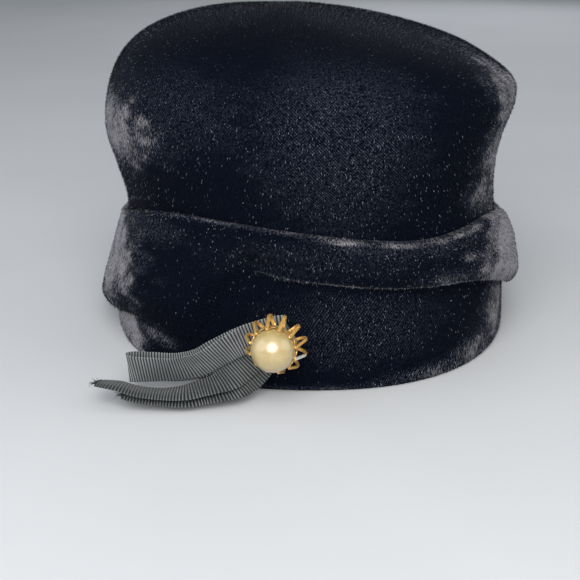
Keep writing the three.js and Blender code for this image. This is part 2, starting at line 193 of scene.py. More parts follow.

# Patches where the pile is brushed over and shows its pale side, with painted sheen of grazing light in
# the
# same pale colour: the middle's bearing and height, half the size each way, and how strong
crown_patches = [
    (-62, 98, 22, 15, 1),
    (-76, 76, 12, 30, 0.7),
    (66, 96, 17, 34, 1.05),
    (70, 70, 20, 12, 0.8),
    (6, 105, 18, 38, 0.27),
    (56, 72, 13, 9, 0.6),
    (-42, 112, 26, 16, 0.2),
    (118, 88, 34, 15, 0.55),
    (-128, 102, 22, 14, 0.5),
    (165, 112, 38, 13, 0.42),
]
drape_patches = [
    (-74, 42, 25, 26, 1.3),
    (66, 45, 24, 24, 1.35),
    (4, 58, 26, 7, 0.13),
    (-46, 62, 14, 6, 0.3),
    (112, 36, 26, 10, 0.6),
    (-150, 24, 38, 9, 0.5),
    (158, 38, 28, 8, 0.42),
]
band_patches = [
    (-66, 10, 19, 15, 1.3),
    (-42, 14, 7, 4, 0.55),
    (60, 15, 11, 17, 0.82),
    (46, 6, 12, 7, 0.7),
    (30, 3, 14, 4, 0.5),
    (10, 28, 20, 16, 0.2),
    (125, 8, 34, 7, 0.5),
    (-125, 5, 38, 6, 0.5),
]

# The bow's ribbons: where the middle of each runs, and how far it lies back from upright
loop_stations = table("x y z lay", [
    (-10.5, -106.3, 29.9, 0),
    (-15, -106.3, 29.4, 0),
    (-26, -107.6, 26.4, -3),
    (-32, -108.9, 23.9, -14),
    (-38, -109.2, 20.3, -22),
    (-44, -108.8, 16.6, -27),
    (-50, -107.6, 13.9, -24),
    (-58, -106.8, 12.5, -21),
    (-67, -105.9, 12, -15),
    (-73, -104.6, 11.6, -10),
    (-75.2, -102.4, 11.3, -4),
    (-73.2, -100.2, 11, 0),
    (-66, -99.6, 10.4, 0),
    (-55, -100, 10.2, 0),
    (-46, -100.8, 12.6, 0),
    (-39, -101.4, 17, 0),
    (-31, -102, 21.6, 0),
    (-23, -102.8, 25.4, 0),
    (-15, -103, 27.7, 0),
    (-10.5, -103, 28.2, 0),
])
# The two tails run together. under and slip place the short one behind and below the long one, and
# it takes only a part of that one's run.
tail_stations = table("x y z lay under slip", [
    (-9, -105.3, 29.4, 0, 1.2, 5.5),
    (-15, -105.3, 25.6, 0, 1.2, 5.5),
    (-24, -105.6, 18.8, 4, 1.5, 5.2),
    (-30, -106.8, 13.2, 38, 1.9, 4.8),
    (-34.5, -109.3, 10.4, 70, 2.6, 3.6),
    (-39, -111.2, 8.9, 86, 3.2, 1.6),
    (-45, -112.6, 7.6, 90, 3.2, 0.6),
    (-51, -113.8, 6.4, 93, 3.1, 0.2),
    (-61, -114, 5.8, 101, 2.4, 0),
    (-70.5, -114, 7, 103, 2.4, 0),
    (-78, -113.4, 9.1, 105, 2.4, 0),
    (-85.5, -112, 9.6, 110, 2.4, 0),
])
short_start, short_end = 0.12, 0.87


# Finishes

def new_finish(name, constants):
    """A material, with the sockets of its shader that are the same all over set on them"""
    finish = bpy.data.materials.new(name)
    finish.use_nodes = True
    for socket, value in constants.items():
        shader_of(finish).inputs[socket].default_value = value
    return finish


def shader_of(finish):
    return finish.node_tree.nodes["Principled BSDF"]


def node(tree, kind, inputs, **settings):
    """A node in a finish's tree, each input either a value or another node's output"""
    made = tree.nodes.new("ShaderNode" + kind)
    for name, value in settings.items():
        setattr(made, name, value)
    for socket, value in inputs.items():
        if isinstance(value, bpy.types.NodeSocket):
            tree.links.new(value, made.inputs[socket])
        else:
            made.inputs[socket].default_value = value
    return made


def connect(finish, **outputs):
    """Links outputs to the shader's sockets of those names"""
    for socket, output in outputs.items():
        name = socket.replace("_", " ").title()
        finish.node_tree.links.new(output, shader_of(finish).inputs[name])


def noise(vector, scale, detail=2, distortion=0):
    inputs = {"Vector": vector, "Scale": scale, "Detail": detail, "Distortion": distortion}
    return node(vector.id_data, "TexNoise", inputs).outputs["Fac"]


def work_out(operation, first, second=0.0, third=0.0):
    inputs = {0: first, 1: second, 2: third}
    return node(first.id_data, "Math", inputs, operation=operation).outputs[0]


def spread(value, low, high, to_low=0.0, to_high=1.0):
    """The value's range from low to high, stretched to another and cut off at its ends"""
    inputs = {"Value": value, "From Min": low, "From Max": high, "To Min": to_low, "To Max": to_high}
    return node(value.id_data, "MapRange", inputs).outputs["Result"]


def blend_colours(share, first, second):
    inputs = {0: share, 6: colour(first), 7: colour(second)}
    return node(share.id_data, "Mix", inputs, data_type="RGBA").outputs[2]


def colour(value):
    return value if isinstance(value, bpy.types.NodeSocket) else (*value, 1)


def bump(height, depth, strength):
    inputs = {"Height": height, "Distance": depth, "Strength": strength}
    return node(height.id_data, "Bump", inputs).outputs["Normal"]


def axis_of(vector, axis):
    return node(vector.id_data, "SeparateXYZ", {"Vector": vector}).outputs[axis]


def object_place(finish):
    return node(finish.node_tree, "TexCoord", {}).outputs["Object"]


def cloth_place(finish, scale=(1, 1, 1), turn=0):
    """The place in the cloth's own map, in metres of cloth, scaled and turned in degrees"""
    cloth = node(finish.node_tree, "UVMap", {}, uv_map="cloth").outputs["UV"]
    laid = {"Vector": cloth, "Scale": scale, "Rotation": (0, 0, math.radians(turn))}
    return node(cloth.id_data, "Mapping", laid).outputs["Vector"]


def value_on(finish, name):
    """A value that the mesh keeps at each of its points"""
    return node(finish.node_tree, "Attribute", {}, attribute_name=name).outputs["Fac"]


def cloth_rows(finish, pitch, turn=0, shake=0.0):
    """Bands across the cloth's own map, 0 to 1, a pitch in millimetres apart"""
    laid = cloth_place(finish, turn=turn)
    inputs = {"Vector": laid, "Scale": 2 * math.pi / (20 * pitch * MM), "Distortion": shake}
    return node(laid.id_data, "TexWave", {**inputs, "Detail": 2, "Detail Scale": 0.4}).outputs["Fac"]


def make_velvet(name, slant):
    """Cut pile on a bias weave: nearly black, pale where it's brushed over and where grazing sheen is
    painted in through the same values. A light touch of either only opens the pile, so that its rows of
    tufts show, the rows of one slant more than the others."""
    sheen = {"Sheen Weight": 0.06, "Sheen Roughness": 0.22, "Sheen Tint": (0.8, 0.84, 1, 1)}
    velvet = new_finish(name, {"Roughness": 0.95, "Specular IOR Level": 0.04, **sheen})
    at = object_place(velvet)
    brushed_and_sheen = value_on(velvet, "brushed_and_sheen")
    strands = spread(noise(cloth_place(velvet, (1500, 520, 1)), 1), 0.3, 0.7, -0.45, 0.45)
    clouds = spread(noise(at, 110, 3), 0.3, 0.7, -0.36, 0.36)
    stirred = work_out("ADD", strands, clouds)
    # worn here is the velvet's pale share: brushed pile together with the painted sheen that the
    # brushed values carry
    worn = work_out("MULTIPLY_ADD", stirred, spread(brushed_and_sheen, 0.15, 0.6), brushed_and_sheen)
    worn = spread(worn, 0.44, 1.16)
    crossing = spread(cloth_rows(velvet, tuft_pitch, -slant, 0.6), 0, 1, 0.4, 1)
    tufts = work_out("MULTIPLY", cloth_rows(velvet, tuft_pitch, slant, 0.6), crossing)
    tufts_showing = work_out("MULTIPLY", tufts, spread(brushed_and_sheen, 0, 0.35, 0.06, 1))
    missing = spread(noise(at, 1300, 1), 0.4, 0.65)
    tufts_showing = work_out("MULTIPLY", tufts_showing, missing)
    ground = blend_colours(tufts_showing, (0.0009, 0.002, 0.006), (0.07, 0.078, 0.105))
    base = blend_colours(worn, ground, (0.215, 0.208, 0.225))
    height = work_out("MULTIPLY_ADD", tufts, 0.5, strands)
    connect(velvet, base_color=base, normal=bump(height, 0.2 * MM, 0.6))
    return velvet


def make_velvet_back():
    """The velvet's plain woven back, as it shows inside"""
    matt = {"Roughness": 0.85, "Specular IOR Level": 0.2, "Sheen Weight": 0.15}
    back = new_finish("velvet back", matt)
    weave = work_out("MAXIMUM", cloth_rows(back, weave_pitch), cloth_rows(back, weave_pitch, 90))
    mottled = spread(noise(object_place(back), 220, 3), 0.35, 0.75, 0, 0.5)
    threads = blend_colours(weave, (0.006, 0.0065, 0.009), (0.026, 0.026, 0.03))
    base = blend_colours(mottled, threads, (0.014, 0.013, 0.013))
    connect(back, base_color=base, normal=bump(weave, 0.12 * MM, 0.8))
    return back


def make_pile_finish():
    """The fibres, each with a tone from nearly black to pale, more often pale and brighter where the
    pile is brushed and where sheen is painted
    """
    pile = new_finish("velvet fibres", {"Roughness": 0.85, "Specular IOR Level": 0.04})
    dark, pale = (0.0008, 0.0019, 0.0055), (0.4, 0.42, 0.49)
    connect(pile, base_color=blend_colours(value_on(pile, "tone"), dark, pale))
    return pile


def make_grosgrain(name, dull, bright, dip):
    """Corded ribbon: pale ribs with painted shade in the dips between, and a little wear and lint"""
    sheen = {"Sheen Weight": 0.2, "Sheen Roughness": 0.4}
    ribbon = new_finish(name, {"Specular IOR Level": 0.3, **sheen})
    turn = work_out("MULTIPLY", axis_of(cloth_place(ribbon), "Y"), 2 * math.pi / (rib_pitch * MM))
    ridge = work_out("MULTIPLY_ADD", work_out("COSINE", turn), -0.5, 0.5)
    wear = spread(noise(object_place(ribbon), 90, 3), 0.3, 0.7)
    grain = noise(cloth_place(ribbon, (6000, 500, 1)), 1, 1)
    rib = blend_colours(wear, dull, bright)
    rib = blend_colours(spread(grain, 0.3, 0.7, 0, 0.35), rib, (0.1, 0.11, 0.112))
    # Painted shade: the dips between the ribs are darkened in colour, over the share of the pitch that
    # dip sets
    base = blend_colours(spread(ridge, dip, dip + 0.6), (0.01, 0.012, 0.016), rib)
    height = work_out("MULTIPLY_ADD", grain, 0.35, ridge)
    connect(ribbon, base_color=base, normal=bump(height, 0.08 * MM, 0.6))
    connect(ribbon, roughness=spread(grain, 0.2, 0.8, 0.5, 0.72))
    return ribbon


def make_gilt():
    """Gilt brass wire, rubbed pale in patches and worn through to silver on one loop"""
    gilt = new_finish("gilt", {"Metallic": 0.75})
    at = object_place(gilt)
    rubbed = spread(noise(at, 900, 3), 0.35, 0.7)
    base = blend_colours(rubbed, (0.66, 0.38, 0.09), (0.85, 0.6, 0.24))
    base = blend_colours(value_on(gilt, "worn"), base, (0.8, 0.79, 0.76))
    connect(gilt, base_color=base, roughness=spread(rubbed, 0, 1, 0.46, 0.36))
    connect(gilt, normal=bump(noise(at, 2600, 2), 0.02 * MM, 0.6))
    return gilt


def make_pearl_finish():
    """Nacre dipped on glass: cream and faintly cloudy, with a painted reflection of a warm surface
    below that warms its lower edge
    """
    coat = {"Coat Weight": 1, "Coat Roughness": 0.32, "Coat IOR": 1.8, "Subsurface Weight": 0.1}
    pearl = new_finish("nacre", {"Specular IOR Level": 0.9, **coat})
    shader_of(pearl).inputs["Subsurface Radius"].default_value = (1.5 * MM, 1.0 * MM, 0.6 * MM)
    at = object_place(pearl)
    clouds = spread(noise(at, 260, 4, 0.6), 0.3, 0.7)
    base = blend_colours(clouds, (0.39, 0.29, 0.11), (0.47, 0.355, 0.15))
    # Painted reflection: a warm tint rising from the pearl's lowest point, as if from a warm surface
    # below
    low_edge = (button_place.z - pearl_radius) * MM
    low = spread(axis_of(at, "Z"), low_edge + 0.1 * MM, low_edge + 4.7 * MM, 0.5, 0)
    base = blend_colours(low, base, (0.42, 0.25, 0.13))
    connect(pearl, base_color=base, roughness=spread(clouds, 0, 1, 0.28, 0.24))
    connect(pearl, normal=bump(noise(at, 700, 3), 0.03 * MM, 0.5))
    return pearl


def make_floor_finish():
    floor = new_finish("floor", {"Roughness": 0.85, "Specular IOR Level": 0.2})
    soft = spread(noise(object_place(floor), 6, 3), 0.3, 0.7)
    connect(floor, base_color=blend_colours(soft, (0.5, 0.515, 0.535), (0.53, 0.545, 0.565)))
    return floor


# Shapes

def through_rows(values, places, last=None):
    """Values at places between rows, on a smooth curve through the rows, and past the last one"""
    last = 2 * values[-1] - values[-2] if last is None else last
    padded = np.concatenate([[2 * values[0] - values[1]], values, [last]])
    index = np.minimum(places.astype(int), len(values) - 2)
    t = (places - index).reshape(-1, *[1] * (values.ndim - 1))
    a, b, c, d = (padded[index + k] for k in range(4))
    bent, turned = 2 * a - 5 * b + 4 * c - d, 3 * (b - c) + d - a
    return 0.5 * (2 * b + (c - a) * t + bent * t**2 + turned * t**3)


def up_the_section(corners, top, steps):
    """A section's out and up, each bearing's row evened on a smooth curve through its corners"""
    out, up = (np.array([0 * top + value for value in values]) for values in zip(*corners))
    places = np.linspace(0, len(corners) - 1, steps)
    return through_rows(out, places).T, through_rows(up, places).T


def ease(t, start, end, leave, arrive):
    """A cubic from start to end that leaves and arrives at the given slopes"""
    far = 3 * t**2 - 2 * t**3
    return start + (end - start) * far + (t**3 - 2 * t**2 + t) * leave + (t**3 - t**2) * arrive


def round_the_hat(values, degrees):
    """A column of the drape's table at any bearing, on a smooth closed curve through its rows"""
    rows = drape_rows["bearing"]
    x = np.concatenate([[rows[-2] - 360], rows, [rows[1] + 360]])
    y = np.concatenate([[values[-2]], values, [values[1]]])
    slope = (y[2:] - y[:-2]) / (x[2:] - x[:-2])
    i = np.clip(np.searchsorted(rows, degrees, side="right") - 1, 0, len(rows) - 2)
    span = rows[i + 1] - rows[i]
    t = (degrees - rows[i]) / span
    return ease(t, values[i], values[i + 1], span * slope[i], span * slope[i + 1])


def drape_values(degrees):
    return {name: round_the_hat(values, degrees) for name, values in drape_rows.items()}


def oval_reach(bearing, left, right, front, back):
    """How far a squared oval reaches at a bearing in radians, from its reach to the four sides"""
    side, ahead = np.sin(bearing), np.cos(bearing)
    across = np.maximum(np.where(side < 0, left, right), 1e-6)
    along = np.maximum(np.where(ahead > 0, front, back), 1e-6)
    total = np.abs(side / across) ** squareness + np.abs(ahead / along) ** squareness
    return total ** (-1 / squareness)


def crown_outline(degrees, places):
    """The crown's out, up and lean, by bearing and by place between its table's rows"""
    side = {}
    for name, values in crown_rows.items():
        over_the_pole = -values[-2] if name.endswith("_out") else values[-2]
        side[name] = through_rows(values, places, over_the_pole)[None, :]
    bearing = np.radians(degrees)[:, None]
    reach = [np.maximum(side[name], 0) for name in ("left_out", "right_out", "front_out", "back_out")]
    out = oval_reach(bearing, *reach)
    sideways = np.sin(bearing) ** 2
    across = np.where(np.sin(bearing) < 0, side["left_up"], side["right_up"])
    along = np.where(np.cos(bearing) > 0, side["front_up"], side["back_up"])
    return out, across * sideways + along * (1 - sideways), side["lean"] + 0 * out


def crown_out(degrees, up):
    """How far the crown stands out at each bearing and height, below its belly"""
    out, heights, _ = crown_outline(degrees, np.linspace(0, 7, 60))
    return np.array([np.interp(row, h, o) for row, h, o in zip(up, heights, out)])


def place(degrees, out, up, lean=0):
    """Points in the hat's frame, in millimetres"""
    bearing = np.radians(degrees)[:, None]
    return np.stack([lean + out * np.sin(bearing), -out * np.cos(bearing), up + 0 * out], axis=-1)


def unit(vectors):
    return vectors / np.maximum(np.linalg.norm(vectors, axis=-1, keepdims=True), 1e-9)


def normals_of(points):
    """Outward normals of a grid of points, its rows round the hat and its columns up the outside"""
    around = np.roll(points, -1, axis=0) - np.roll(points, 1, axis=0)
    return unit(np.cross(around, np.gradient(points, axis=1)))


def turned_from(bearing, degrees):
    """How far round from a bearing the others are, -180 to 180"""
    return (degrees[:, None] - bearing + 180) % 360 - 180


def press_creases(degrees, up, creases):
    """How deep the creases go at each point"""
    depth = np.zeros(up.shape)
    for bearing, height, to_bearing, to_height, width, deep in creases:
        turned = turned_from(bearing, degrees) + 0 * up
        off = np.stack([turned * girth_per_degree, up - height], axis=-1)
        run = np.array([(to_bearing - bearing) * girth_per_degree, to_height - height])
        share = np.clip(off @ run / (run @ run), 0, 1)
        away = np.linalg.norm(off - share[..., None] * run, axis=-1)
        depth += deep * np.exp(-((away / width) ** 2))
    return depth


def brushed_and_sheen_patches(degrees, up, patches):
    """How pale the patches make the pile at each point, 0 to 1: brushed pile and painted sheen together
    """
    brushed_and_sheen = np.zeros(up.shape)
    a = degrees[:, None]
    waves = (0.31 * a + 0.23 * up, 0.67 * a - 0.41 * up + 2, 0.9 * up + 0.2 * a)
    ragged = 0.07 * sum(np.sin(wave) for wave in waves)
    for bearing, height, half_across, half_up, strength in patches:
        away = np.hypot(turned_from(bearing, degrees) / half_across, (up - height) / half_up)
        away = away * (1 + ragged)
        brushed_and_sheen = np.maximum(brushed_and_sheen, strength * np.clip(1.6 - 1.2 * away, 0, 1))
    return brushed_and_sheen


def painted_edge_sheen(degrees, up, edge, width, start, end):
    """A painted sheen line along an edge where the pile fans open to the light, between two bearings, 0
    to 1
    """
    fade = np.clip((degrees - start) / 8, 0, 1) * np.clip((end - degrees) / 8, 0, 1)
    fade = fade * (0.78 + 0.22 * np.sin(0.35 * degrees) * np.sin(0.13 * degrees + 1))
    return fade[:, None] * np.exp(-(((up - edge[:, None]) / width) ** 2))


def soft_waves(degrees, up, size):
    """The slow unevenness of cloth over a soft form"""
    a = np.radians(degrees)[:, None]
    slow = np.sin(2 * a + 1.3 + 0.03 * up) + 0.7 * np.sin(5 * a + 0.4 - 0.05 * up)
    quick = 0.5 * np.sin(9 * a + 0.09 * up) + 0.35 * np.sin(14 * a + 2 - 0.12 * up)
    return size * (slow + quick) / 2.5


def bearings_round(count):
    return -180 + 360 * np.arange(count) / count


# Meshes

def settle(piece, hidden=()):
    """The piece rides with the hat and stands for the CAD nodes that it hides"""
    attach(piece, "root")
    if hidden:
        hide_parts(*hidden)


def new_piece(name, points, faces, materials):
    """A mesh object from points in the hat's millimetres"""
    mesh = bpy.data.meshes.new(name)
    mesh.from_pydata((np.asarray(points) * MM + np.array(hat_centre)).tolist(), [], faces)
    mesh.update()
    for material in materials:
        mesh.materials.append(material)
    return put_in_scene(name, mesh)


def put_in_scene(name, data):
    thing = bpy.data.objects.new(name, data)
    bpy.context.scene.collection.objects.link(thing)
    return thing


def set_values(mesh, name, values):
    attribute = mesh.attributes.new(name, "FLOAT", "POINT")
    attribute.data.foreach_set("value", np.asarray(values, np.float32).ravel())


def set_map(mesh, name, coordinates):
    mesh.uv_layers.new(name=name).data.foreach_set("uv", np.asarray(coordinates, np.float32).ravel())


def close_seams(piece):
    """Merges the points that share a place, at poles and seams, and smooths the shading"""
    only(piece)
    with edit_mode():
        bpy.ops.mesh.select_all(action="SELECT")
        bpy.ops.mesh.remove_doubles(threshold=1e-6)
    bpy.ops.object.shade_smooth()


def only(piece):
    bpy.ops.object.select_all(action="DESELECT")
    bpy.context.view_layer.objects.active = piece
    piece.select_set(True)


@contextmanager
def edit_mode():
    bpy.ops.object.mode_set(mode="EDIT")
    yield
    bpy.ops.object.mode_set(mode="OBJECT")


def start_with(add_primitive, **sizes):
    """A primitive of the given sizes, the only thing selected, its place in its mesh"""
    bpy.ops.object.select_all(action="DESELECT")
    add_primitive(**sizes)
    bpy.ops.object.transform_apply()
    return bpy.context.object


def corners_at(i, j):
    return (i, j), (i + 1, j), (i + 1, j + 1), (i, j + 1)


def new_skin(name, outer, inner, materials, brushed_and_sheen, pole=False):
    """A closed wall of cloth from its outer grid and its inner one, both from the hem upwards. Its
    map's unit is a metre of cloth. At a pole the two sheets don't join."""
    grid = np.concatenate([outer, inner[:, ::-1]], axis=1)
    rows, columns = grid.shape[:2]
    turn = outer.shape[1] - 1
    girth = np.linalg.norm(outer - np.roll(outer, 1, axis=0), axis=-1).sum(axis=0).max() * MM
    rise = np.linalg.norm(np.diff(grid, axis=1, append=grid[:, :1]), axis=-1).mean(axis=0) * MM
    height = np.concatenate([[0], np.cumsum(rise)])
    faces, coordinates, backs = [], [], []
    for i in range(rows):
        for j in range(columns):
            if pole and j == turn:
                continue
            faces.append([a % rows * columns + b % columns for a, b in corners_at(i, j)])
            coordinates += [(girth * a / rows, height[b]) for a, b in corners_at(i, j)]
            backs.append(int(j > turn))
    skin = new_piece(name, grid.reshape(-1, 3), faces, materials)
    skin.data.polygons.foreach_set("material_index", backs)
    set_map(skin.data, "cloth", coordinates)
    set_values(skin.data, "brushed_and_sheen", np.concatenate([brushed_and_sheen, np.zeros(inner.shape[:2])], axis=1))
    close_seams(skin)
    return skin


# The crown, the band and the drape

def crown_shape():
    degrees = bearings_round(crown_grid[0])
    places = np.linspace(0, len(crown_rows["lean"]) - 1, crown_grid[1])
    out, up, lean = crown_outline(degrees, places)
    outer = place(degrees, out, up, lean)
    normals = normals_of(outer)
    normals[:, -1] = (0, 0, 1)
    firm = np.clip((up - foot_height) / 12, 0, 1) * np.clip(out / 40, 0, 1)
    swell = soft_waves(degrees, up, 0.45) - press_creases(degrees, up, crown_creases)
    outer = outer + normals * (swell * firm)[..., None]
    return degrees, outer, normals


def make_crown():
    degrees, outer, normals = crown_shape()
    heights = outer[..., 2]
    inner = (outer - crown_wall * normals)[:, ::3]
    inner[:, 0, 2] = outer[:, 0, 2]
    below_the_flat = (crown_flat_at - heights) / (crown_flat_at - crown_flat_from)
    brushed_and_sheen = np.clip(below_the_flat, 0, 1) * brushed_and_sheen_patches(degrees, heights, crown_patches)
    crown = new_skin("crown_velvet", outer, inner, [velvet, velvet_back], brushed_and_sheen, pole=True)
    settle(crown, ["crown"])
    shows = heights > drape_values(degrees)["top"][:, None] - 2
    grow_pile("crown_pile", outer, normals, brushed_and_sheen, shows, halves=("_left", "_right"))


def band_shape():
    degrees = bearings_round(band_grid[0])
    drape = drape_values(degrees)
    top = np.minimum(drape["fold"] + band_over_fold, drape["top"] - band_under_top)
    outside = gap + band_wall
    inside = -crown_wall - 2 * gap - band_wall
    bulge = outside + band_bulge
    corners = [(inside + 0.3, 0.5), (inside + 1.6, 0), (outside - 0.6, 0), (outside + 0.75, 1.1)]
    corners += [(outside + 0.95, 4), (bulge, top * 0.35), (bulge, top * 0.65)]
    corners += [(outside + 0.6, top - 1), (outside - 0.9, top)]
    out, up = up_the_section(corners, top, band_grid[1])
    up = np.maximum(up, 0)
    outer = place(degrees, crown_out(degrees, up) + out, up)
    normals = normals_of(outer)
    firm = np.clip((up - 2) / 8, 0, 1)
    swell = soft_waves(degrees, up, 0.3) - press_creases(degrees, up, band_creases)
    outer = outer + normals * (swell * firm)[..., None]
    return degrees, outer, normals


def make_band():
    degrees, outer, normals = band_shape()
    heights = outer[..., 2]
    top = heights[:, -1]
    turned_in = -crown_wall - 2 * gap
    inside = turned_in - band_wall
    corners = [(inside, 1), (inside - 0.2, 10), (inside, turn_up - 1)]
    corners += [(turned_in - band_wall / 2, turn_up), (turned_in, turn_up - 1)]
    corners += [(turned_in, foot_height), (gap, foot_height), (gap + 0.1, top / 2), (gap, top - 0.6)]
    out, up = up_the_section(corners, top, len(corners))
    inner = place(degrees, crown_out(degrees, up) + out, up)
    # A thin painted sheen line along the rim's lower edge
    painted_rim_sheen = 0.45 * painted_edge_sheen(degrees, heights, 0 * top + 1.3, 1.1, -75, 90)
    brushed_and_sheen = np.maximum(brushed_and_sheen_patches(degrees, heights, band_patches), painted_rim_sheen)
    band = new_skin("band_velvet", outer, inner, [band_velvet, velvet_back], brushed_and_sheen)
    settle(band, ["lower_band"])
    shows = (heights > 0.9) & (heights < drape_values(degrees)["fold"][:, None] + 5)
    grow_pile("band_pile", outer, normals, brushed_and_sheen, shows)


def drape_shape():
    degrees = bearings_round(drape_grid[0])
    row = drape_values(degrees)
    top, fold, shoulder, belly = (row[name] for name in ("top", "fold", "shoulder", "belly"))
    merge = np.clip(row["merge"], 0, 1)
    belly_up = top - (top - fold) * row["belly_at"]
    lip = 3 * gap + band_wall + band_bulge
    flush = gap + band_wall + band_bulge
    low = fold + (belly_up - fold) * 0.42
    free = [(lip, fold + 2.6), (lip + 0.3, fold + 0.5), ((lip + belly) / 2, fold), (belly * 0.93, low)]
    sunk = [(flush - 1.6, fold - 3), (flush - 0.9, fold - 3.2), (flush - 0.1, fold - 2.2)]
    sunk.append((flush + (belly - flush) * 0.5, low))
    corners = [(a + (c - a) * merge, b + (d - b) * merge) for (a, b), (c, d) in zip(free, sunk)]
    corners.append((belly, belly_up))
    for out_share, up_share in ((0.62, 0.4), (0.2, 0.75)):
        out = shoulder + (belly - shoulder) * out_share
        corners.append((out, belly_up + (top - belly_up) * up_share))
    corners += [(shoulder * 0.78, top - 0.8), (drape_wall * 0.4 + gap, top - 0.2)]
    out, up = up_the_section(corners, top, drape_grid[1])
    outer = place(degrees, crown_out(degrees, up) + out, up)
    normals = normals_of(outer)
    share = np.linspace(0, 1, drape_grid[1])
    firm = np.clip(share / 0.3, 0, 1) * np.clip((1 - share) / 0.1, 0, 1)
    swell = soft_waves(degrees, up, 0.35) * firm - press_creases(degrees, up, drape_creases)
    outer = outer + normals * swell[..., None]
    return degrees, outer, normals, up


def painted_edge_sheens(degrees, up, row):
    """Every painted sheen line of the drape: along its top, which shines at the right, and along its
    fold
    """
    lines = (
        (0.6, row["top"] - 0.5, 0.7, -80, 60),
        (0.8, row["top"] - 1.2, 1.3, -4, 60),
        (0.38, row["top"] - 3.2, 3, 0, 60),
        (0.85, row["fold"] + 0.2, 0.8, -14, 95),
        (0.55, row["fold"] + 3, 4, 20, 95),
    )
    return [strength * painted_edge_sheen(degrees, up, *line) for strength, *line in lines]


def make_drape():
    degrees, outer, normals, up = drape_shape()
    inner = outer - drape_wall * normals
    reach = np.hypot(inner[..., 0], inner[..., 1])
    least = crown_out(degrees, inner[..., 2]) + gap
    inner[..., :2] *= (np.maximum(reach, least) / reach)[..., None]
    inner = inner[:, ::2]
    patches = brushed_and_sheen_patches(degrees, up, drape_patches)
    brushed_and_sheen = np.maximum.reduce([patches, *painted_edge_sheens(degrees, up, drape_values(degrees))])
    drape = new_skin("drape_velvet", outer, inner, [velvet, velvet_back], brushed_and_sheen)
    settle(drape, ["drape"])
    grow_pile("drape_pile", outer, normals, brushed_and_sheen, outer[..., 2] > 0)


# The pile

def pile_spots(points, random):
    """Where fibres stand on a grid, a little off their staggered rows: row and column, with shares"""
    rows = len(points)
    steps = np.linalg.norm(np.diff(points, axis=1), axis=-1).mean(axis=0)
    along = np.concatenate([[0], np.cumsum(steps)])
    girths = np.linalg.norm(points - np.roll(points, 1, axis=0), axis=-1).sum(axis=0)
    spots = []
    for k, rise in enumerate(np.arange(pile_pitch / 2, along[-1], pile_pitch / 2)):
        j = np.interp(rise, along, np.arange(len(along)))
        count = 2 * int(np.interp(rise, along, girths) / pile_pitch / 2)
        if count:
            i = (np.arange(count) + 0.5 * (k % 2)) / count * rows
            spots.append(np.stack([i, np.full(count, j)], axis=1))
    spots = np.concatenate(spots)
    spots += random.uniform(-0.35, 0.35, spots.shape) * pile_pitch / [girths.max() / rows, steps.mean()]
    return spots[:, 0] % rows, np.clip(spots[:, 1], 0, points.shape[1] - 1.001)


def grow_pile(name, points, normals, brushed_and_sheen, shows, halves=("",)):
    """The velvet's pile where it shows: short spikes in rows on the bias, leaning down the cloth"""
    random = np.random.default_rng(sum(map(ord, name)))
    i, j = pile_spots(points, random)
    keep = between(shows.astype(float), i, j) > 0.5
    down = -unit(np.gradient(points, axis=1))
    grids = (points, normals, down, brushed_and_sheen)
    base, normal, fall, soft = (between(grid, i, j)[keep] for grid in grids)
    count = len(base)
    side = base[:, 0] / np.hypot(base[:, 0], base[:, 1])
    inward = np.stack([base[:, 1], -base[:, 0], 0 * side], axis=1) * (side / 100)[:, None]
    drawn = random.uniform(0, 1, count)
    # Pale fibres at random, and more and brighter ones where the brushed values carry brushed pile and
    # painted sheen
    pale_share = pale_all_over + pale_in_clouds * clouds_at(base, random) ** 2
    is_pale = drawn < pale_share + pale_where_brushed_and_sheen * soft
    lean = (0.6 + 0.6 * soft + 0.7 * is_pale)[:, None] * (fall + 0.6 * inward)
    heading = unit(unit(normal) + lean + random.normal(0, 0.25, (count, 3)))
    length = random.uniform(0.85, 1.35, count) * pile_length * (1 - 0.15 * is_pale)
    high = base[:, 2] + heading[:, 2] * length > 0.15
    brightest = 0.75 + 0.25 * np.minimum(soft, 1)
    tone = np.where(is_pale, random.uniform(0.18, brightest), random.uniform(0, 0.03, count))
    fibres = [values[high] for values in (base, normal, heading, length, tone)]
    around = np.argsort(np.arctan2(fibres[0][:, 0], -fibres[0][:, 1]))
    edges = np.linspace(0, len(around), len(halves) + 1).astype(int)
    for half, start, end in zip(halves, edges, edges[1:]):
        spikes(name + half, random, *(values[around[start:end]] for values in fibres))


def clouds_at(points, random, waves=10, reach=42):
    """Soft clouds from 0 to 1 at points, as a sum of plane waves that run every way"""
    total = np.zeros(len(points))
    for _ in range(waves):
        heading = unit(random.normal(size=3)) * 2 * math.pi / (reach * random.uniform(0.5, 1.5))
        total += np.sin(points @ heading + random.uniform(0, 2 * math.pi))
    return np.clip(0.5 + total / (2 * math.sqrt(waves)), 0, 1)


def between(grid, i, j):
    """Values of a grid that closes round the hat, at places between its points"""
    a, b = i.astype(int), j.astype(int)
    s, t = i - a, j - b
    if grid.ndim == 3:
        s, t = s[:, None], t[:, None]
    after = (a + 1) % len(grid)
    low = grid[a, b] * (1 - s) + grid[after, b] * s
    return low * (1 - t) + (grid[a, b + 1] * (1 - s) + grid[after, b + 1] * s) * t


